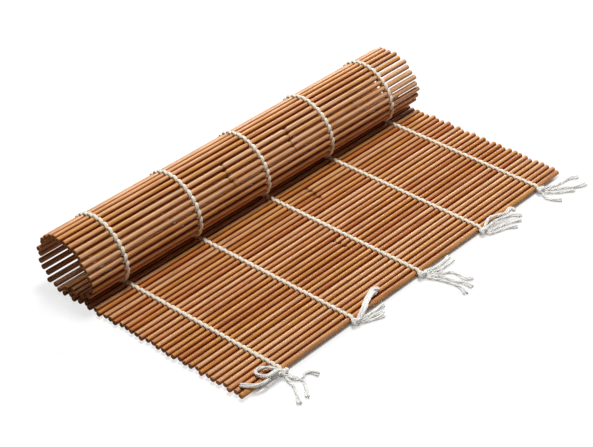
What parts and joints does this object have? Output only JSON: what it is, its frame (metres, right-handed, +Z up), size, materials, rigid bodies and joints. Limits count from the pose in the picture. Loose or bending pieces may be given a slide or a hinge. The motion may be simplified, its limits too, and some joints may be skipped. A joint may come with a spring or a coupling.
{
  "type": "sushi rolling mat",
  "caption": "Mat of thin round bamboo sticks joined by five twined cotton strings with tasselled ends, flat in front and rolled into a tube at the back.",
  "frame": {"origin": "on the table, under the middle string, below the last stick of the flat part", "axes": "+X along the sticks, +Y from the tasselled front edge towards the roll, +Z up"},
  "size_m": [0.245, 0.1574, 0.0337],
  "materials": {
    "bamboo": "satin",
    "string_yarn": "matte",
    "tassel_yarn": "matte"
  },
  "bodies": {
    "base": {"sticks_21_23": "bamboo", "sticks_24_26": "bamboo", "sticks_27_29": "bamboo", "sticks_30_32": "bamboo", "sticks_33_34": "bamboo", "string_1_flat": "string_yarn", "string_2_flat": "string_yarn", "string_3_flat": "string_yarn", "string_4_flat": "string_yarn", "string_5_flat": "string_yarn", "string_1_roll": "string_yarn", "string_2_roll": "string_yarn", "string_3_roll": "string_yarn", "string_4_roll": "string_yarn", "string_5_roll": "string_yarn"},
    "pair_10": {"sticks_19_20": "bamboo"},
    "pair_09": {"sticks_17_18": "bamboo"},
    "pair_08": {"sticks_15_16": "bamboo"},
    "pair_07": {"sticks_13_14": "bamboo"},
    "pair_06": {"sticks_11_12": "bamboo"},
    "pair_05": {"sticks_09_10": "bamboo"},
    "pair_04": {"sticks_07_08": "bamboo"},
    "pair_03": {"sticks_05_06": "bamboo"},
    "pair_02": {"sticks_03_04": "bamboo"},
    "pair_01": {"sticks_01_02": "bamboo", "tassel_1": "tassel_yarn", "tassel_2": "tassel_yarn", "tassel_3": "tassel_yarn", "tassel_4": "tassel_yarn", "tassel_5": "tassel_yarn"},
    "roll_35": {"stick_35": "bamboo"},
    "roll_36": {"stick_36": "bamboo"},
    "roll_37": {"stick_37": "bamboo"},
    "roll_38": {"stick_38": "bamboo"},
    "roll_39": {"stick_39": "bamboo"},
    "roll_40": {"stick_40": "bamboo"},
    "roll_41": {"stick_41": "bamboo"},
    "roll_42": {"stick_42": "bamboo"},
    "roll_43": {"stick_43": "bamboo"},
    "roll_44": {"stick_44": "bamboo"},
    "roll_45": {"stick_45": "bamboo"},
    "roll_46": {"stick_46": "bamboo"},
    "roll_47": {"stick_47": "bamboo"},
    "roll_48": {"stick_48": "bamboo"},
    "roll_49": {"stick_49": "bamboo"},
    "roll_50": {"stick_50": "bamboo"},
    "roll_51": {"stick_51": "bamboo"},
    "roll_52": {"stick_52": "bamboo"},
    "roll_53": {"stick_53": "bamboo"},
    "roll_54": {"stick_54": "bamboo"},
    "roll_55": {"stick_55": "bamboo"},
    "roll_56": {"stick_56": "bamboo"},
    "roll_57": {"stick_57": "bamboo"},
    "roll_58": {"stick_58": "bamboo"},
    "roll_59": {"stick_59": "bamboo"},
    "roll_60": {"stick_60": "bamboo"},
    "roll_61": {"stick_61": "bamboo"},
    "roll_62": {"stick_62": "bamboo"},
    "roll_63": {"stick_63": "bamboo"}
  },
  "joints": [
    {"name": "front_curl", "type": "hinge", "parent": "base", "child": "pair_10", "pos_m": [0, -0.0459, 0.002], "axis": [-1, 0, 0], "range_deg": [0, 18], "deforming": ["string_1_flat", "string_2_flat", "string_3_flat", "string_4_flat", "string_5_flat", "tassel_1", "tassel_2", "tassel_3", "tassel_4", "tassel_5"]},
    {"name": "front_curl_09", "type": "hinge", "parent": "pair_10", "child": "pair_09", "pos_m": [0, -0.0527, 0.002], "axis": [-1, 0, 0], "range_deg": [0, 18]},
    {"name": "front_curl_08", "type": "hinge", "parent": "pair_09", "child": "pair_08", "pos_m": [0, -0.0595, 0.002], "axis": [-1, 0, 0], "range_deg": [0, 18]},
    {"name": "front_curl_07", "type": "hinge", "parent": "pair_08", "child": "pair_07", "pos_m": [0, -0.0663, 0.002], "axis": [-1, 0, 0], "range_deg": [0, 18]},
    {"name": "front_curl_06", "type": "hinge", "parent": "pair_07", "child": "pair_06", "pos_m": [0, -0.0731, 0.002], "axis": [-1, 0, 0], "range_deg": [0, 18]},
    {"name": "front_curl_05", "type": "hinge", "parent": "pair_06", "child": "pair_05", "pos_m": [0, -0.0799, 0.002], "axis": [-1, 0, 0], "range_deg": [0, 18]},
    {"name": "front_curl_04", "type": "hinge", "parent": "pair_05", "child": "pair_04", "pos_m": [0, -0.0867, 0.002], "axis": [-1, 0, 0], "range_deg": [0, 18]},
    {"name": "front_curl_03", "type": "hinge", "parent": "pair_04", "child": "pair_03", "pos_m": [0, -0.0935, 0.002], "axis": [-1, 0, 0], "range_deg": [0, 18]},
    {"name": "front_curl_02", "type": "hinge", "parent": "pair_03", "child": "pair_02", "pos_m": [0, -0.1003, 0.002], "axis": [-1, 0, 0], "range_deg": [0, 18]},
    {"name": "front_curl_01", "type": "hinge", "parent": "pair_02", "child": "pair_01", "pos_m": [0, -0.1071, 0.002], "axis": [-1, 0, 0], "range_deg": [0, 18]},
    {"name": "unroll", "type": "hinge", "parent": "base", "child": "roll_35", "pos_m": [0, 0.0017, 0.002], "axis": [-1, 0, 0], "range_deg": [0, 12.49], "deforming": ["string_1_roll", "string_2_roll", "string_3_roll", "string_4_roll", "string_5_roll"]},
    {"name": "unroll_36", "type": "hinge", "parent": "roll_35", "child": "roll_36", "pos_m": [0, 0.00502, 0.00274], "axis": [-1, 0, 0], "range_deg": [0, 12.49]},
    {"name": "unroll_37", "type": "hinge", "parent": "roll_36", "child": "roll_37", "pos_m": [0, 0.0081, 0.00417], "axis": [-1, 0, 0], "range_deg": [0, 12.49]},
    {"name": "unroll_38", "type": "hinge", "parent": "roll_37", "child": "roll_38", "pos_m": [0, 0.0108, 0.00624], "axis": [-1, 0, 0], "range_deg": [0, 12.49]},
    {"name": "unroll_39", "type": "hinge", "parent": "roll_38", "child": "roll_39", "pos_m": [0, 0.01299, 0.00884], "axis": [-1, 0, 0], "range_deg": [0, 12.49]},
    {"name": "unroll_40", "type": "hinge", "parent": "roll_39", "child": "roll_40", "pos_m": [0, 0.01456, 0.01186], "axis": [-1, 0, 0], "range_deg": [0, 12.49]},
    {"name": "unroll_41", "type": "hinge", "parent": "roll_40", "child": "roll_41", "pos_m": [0, 0.01545, 0.01514], "axis": [-1, 0, 0], "range_deg": [0, 12.68]},
    {"name": "unroll_42", "type": "hinge", "parent": "roll_41", "child": "roll_42", "pos_m": [0, 0.01559, 0.01854], "axis": [-1, 0, 0], "range_deg": [0, 13.35]},
    {"name": "unroll_43", "type": "hinge", "parent": "roll_42", "child": "roll_43", "pos_m": [0, 0.01494, 0.02188], "axis": [-1, 0, 0], "range_deg": [0, 13.82]},
    {"name": "unroll_44", "type": "hinge", "parent": "roll_43", "child": "roll_44", "pos_m": [0, 0.01352, 0.02496], "axis": [-1, 0, 0], "range_deg": [0, 13.82]},
    {"name": "unroll_45", "type": "hinge", "parent": "roll_44", "child": "roll_45", "pos_m": [0, 0.0114, 0.02762], "axis": [-1, 0, 0], "range_deg": [0, 13.82]},
    {"name": "unroll_46", "type": "hinge", "parent": "roll_45", "child": "roll_46", "pos_m": [0, 0.0087, 0.0297], "axis": [-1, 0, 0], "range_deg": [0, 13.82]},
    {"name": "unroll_47", "type": "hinge", "parent": "roll_46", "child": "roll_47", "pos_m": [0, 0.00559, 0.03107], "axis": [-1, 0, 0], "range_deg": [0, 13.82]},
    {"name": "unroll_48", "type": "hinge", "parent": "roll_47", "child": "roll_48", "pos_m": [0, 0.00224, 0.03166], "axis": [-1, 0, 0], "range_deg": [0, 11.95]},
    {"name": "unroll_49", "type": "hinge", "parent": "roll_48", "child": "roll_49", "pos_m": [0, -0.00116, 0.03154], "axis": [-1, 0, 0], "range_deg": [0, 9.55]},
    {"name": "unroll_50", "type": "hinge", "parent": "roll_49", "child": "roll_50", "pos_m": [0, -0.00449, 0.03086], "axis": [-1, 0, 0], "range_deg": [0, 9.02]},
    {"name": "unroll_51", "type": "hinge", "parent": "roll_50", "child": "roll_51", "pos_m": [0, -0.00767, 0.02966], "axis": [-1, 0, 0], "range_deg": [0, 9.02]},
    {"name": "unroll_52", "type": "hinge", "parent": "roll_51", "child": "roll_52", "pos_m": [0, -0.01063, 0.02799], "axis": [-1, 0, 0], "range_deg": [0, 9.02]},
    {"name": "unroll_53", "type": "hinge", "parent": "roll_52", "child": "roll_53", "pos_m": [0, -0.01329, 0.02587], "axis": [-1, 0, 0], "range_deg": [0, 9.68]},
    {"name": "unroll_54", "type": "hinge", "parent": "roll_53", "child": "roll_54", "pos_m": [0, -0.01555, 0.02333], "axis": [-1, 0, 0], "range_deg": [0, 10.53]},
    {"name": "unroll_55", "type": "hinge", "parent": "roll_54", "child": "roll_55", "pos_m": [0, -0.01731, 0.02042], "axis": [-1, 0, 0], "range_deg": [0, 10.7]},
    {"name": "unroll_56", "type": "hinge", "parent": "roll_55", "child": "roll_56", "pos_m": [0, -0.0185, 0.01724], "axis": [-1, 0, 0], "range_deg": [0, 10.7]},
    {"name": "unroll_57", "type": "hinge", "parent": "roll_56", "child": "roll_57", "pos_m": [0, -0.01908, 0.01389], "axis": [-1, 0, 0], "range_deg": [0, 16.66]},
    {"name": "unroll_58", "type": "hinge", "parent": "roll_57", "child": "roll_58", "pos_m": [0, -0.01867, 0.01051], "axis": [-1, 0, 0], "range_deg": [0, 26.85]},
    {"name": "unroll_59", "type": "hinge", "parent": "roll_58", "child": "roll_59", "pos_m": [0, -0.01678, 0.00768], "axis": [-1, 0, 0], "range_deg": [0, 31.08]},
    {"name": "unroll_60", "type": "hinge", "parent": "roll_59", "child": "roll_60", "pos_m": [0, -0.01371, 0.00623], "axis": [-1, 0, 0], "range_deg": [0, 18.42]},
    {"name": "unroll_61", "type": "hinge", "parent": "roll_60", "child": "roll_61", "pos_m": [0, -0.01033, 0.00583], "axis": [-1, 0, 0], "range_deg": [0, 3.53]},
    {"name": "unroll_62", "type": "hinge", "parent": "roll_61", "child": "roll_62", "pos_m": [0, -0.00694, 0.00564], "axis": [-1, 0, 0], "range_deg": [0, 1.3]},
    {"name": "unroll_63", "type": "hinge", "parent": "roll_62", "child": "roll_63", "pos_m": [0, -0.00354, 0.00552], "axis": [-1, 0, 0], "range_deg": [0, 1.3]}
  ],
  "couplings": [
    {"joint": "front_curl_09", "follows": "front_curl", "ratio": 1},
    {"joint": "front_curl_08", "follows": "front_curl", "ratio": 1},
    {"joint": "front_curl_07", "follows": "front_curl", "ratio": 1},
    {"joint": "front_curl_06", "follows": "front_curl", "ratio": 1},
    {"joint": "front_curl_05", "follows": "front_curl", "ratio": 1},
    {"joint": "front_curl_04", "follows": "front_curl", "ratio": 1},
    {"joint": "front_curl_03", "follows": "front_curl", "ratio": 1},
    {"joint": "front_curl_02", "follows": "front_curl", "ratio": 1},
    {"joint": "front_curl_01", "follows": "front_curl", "ratio": 1},
    {"joint": "unroll_36", "follows": "unroll", "ratio": 1},
    {"joint": "unroll_37", "follows": "unroll", "ratio": 1},
    {"joint": "unroll_38", "follows": "unroll", "ratio": 1},
    {"joint": "unroll_39", "follows": "unroll", "ratio": 1},
    {"joint": "unroll_40", "follows": "unroll", "ratio": 1},
    {"joint": "unroll_41", "follows": "unroll", "ratio": 1.0156},
    {"joint": "unroll_42", "follows": "unroll", "ratio": 1.0688},
    {"joint": "unroll_43", "follows": "unroll", "ratio": 1.1064},
    {"joint": "unroll_44", "follows": "unroll", "ratio": 1.1064},
    {"joint": "unroll_45", "follows": "unroll", "ratio": 1.1064},
    {"joint": "unroll_46", "follows": "unroll", "ratio": 1.1064},
    {"joint": "unroll_47", "follows": "unroll", "ratio": 1.1064},
    {"joint": "unroll_48", "follows": "unroll", "ratio": 0.9568},
    {"joint": "unroll_49", "follows": "unroll", "ratio": 0.76476},
    {"joint": "unroll_50", "follows": "unroll", "ratio": 0.72216},
    {"joint": "unroll_51", "follows": "unroll", "ratio": 0.72224},
    {"joint": "unroll_52", "follows": "unroll", "ratio": 0.72224},
    {"joint": "unroll_53", "follows": "unroll", "ratio": 0.7755},
    {"joint": "unroll_54", "follows": "unroll", "ratio": 0.84284},
    {"joint": "unroll_55", "follows": "unroll", "ratio": 0.85718},
    {"joint": "unroll_56", "follows": "unroll", "ratio": 0.85718},
    {"joint": "unroll_57", "follows": "unroll", "ratio": 1.3343},
    {"joint": "unroll_58", "follows": "unroll", "ratio": 2.1504},
    {"joint": "unroll_59", "follows": "unroll", "ratio": 2.489},
    {"joint": "unroll_60", "follows": "unroll", "ratio": 1.4752},
    {"joint": "unroll_61", "follows": "unroll", "ratio": 0.28268},
    {"joint": "unroll_62", "follows": "unroll", "ratio": 0.10402},
    {"joint": "unroll_63", "follows": "unroll", "ratio": 0.10402}
  ]
}
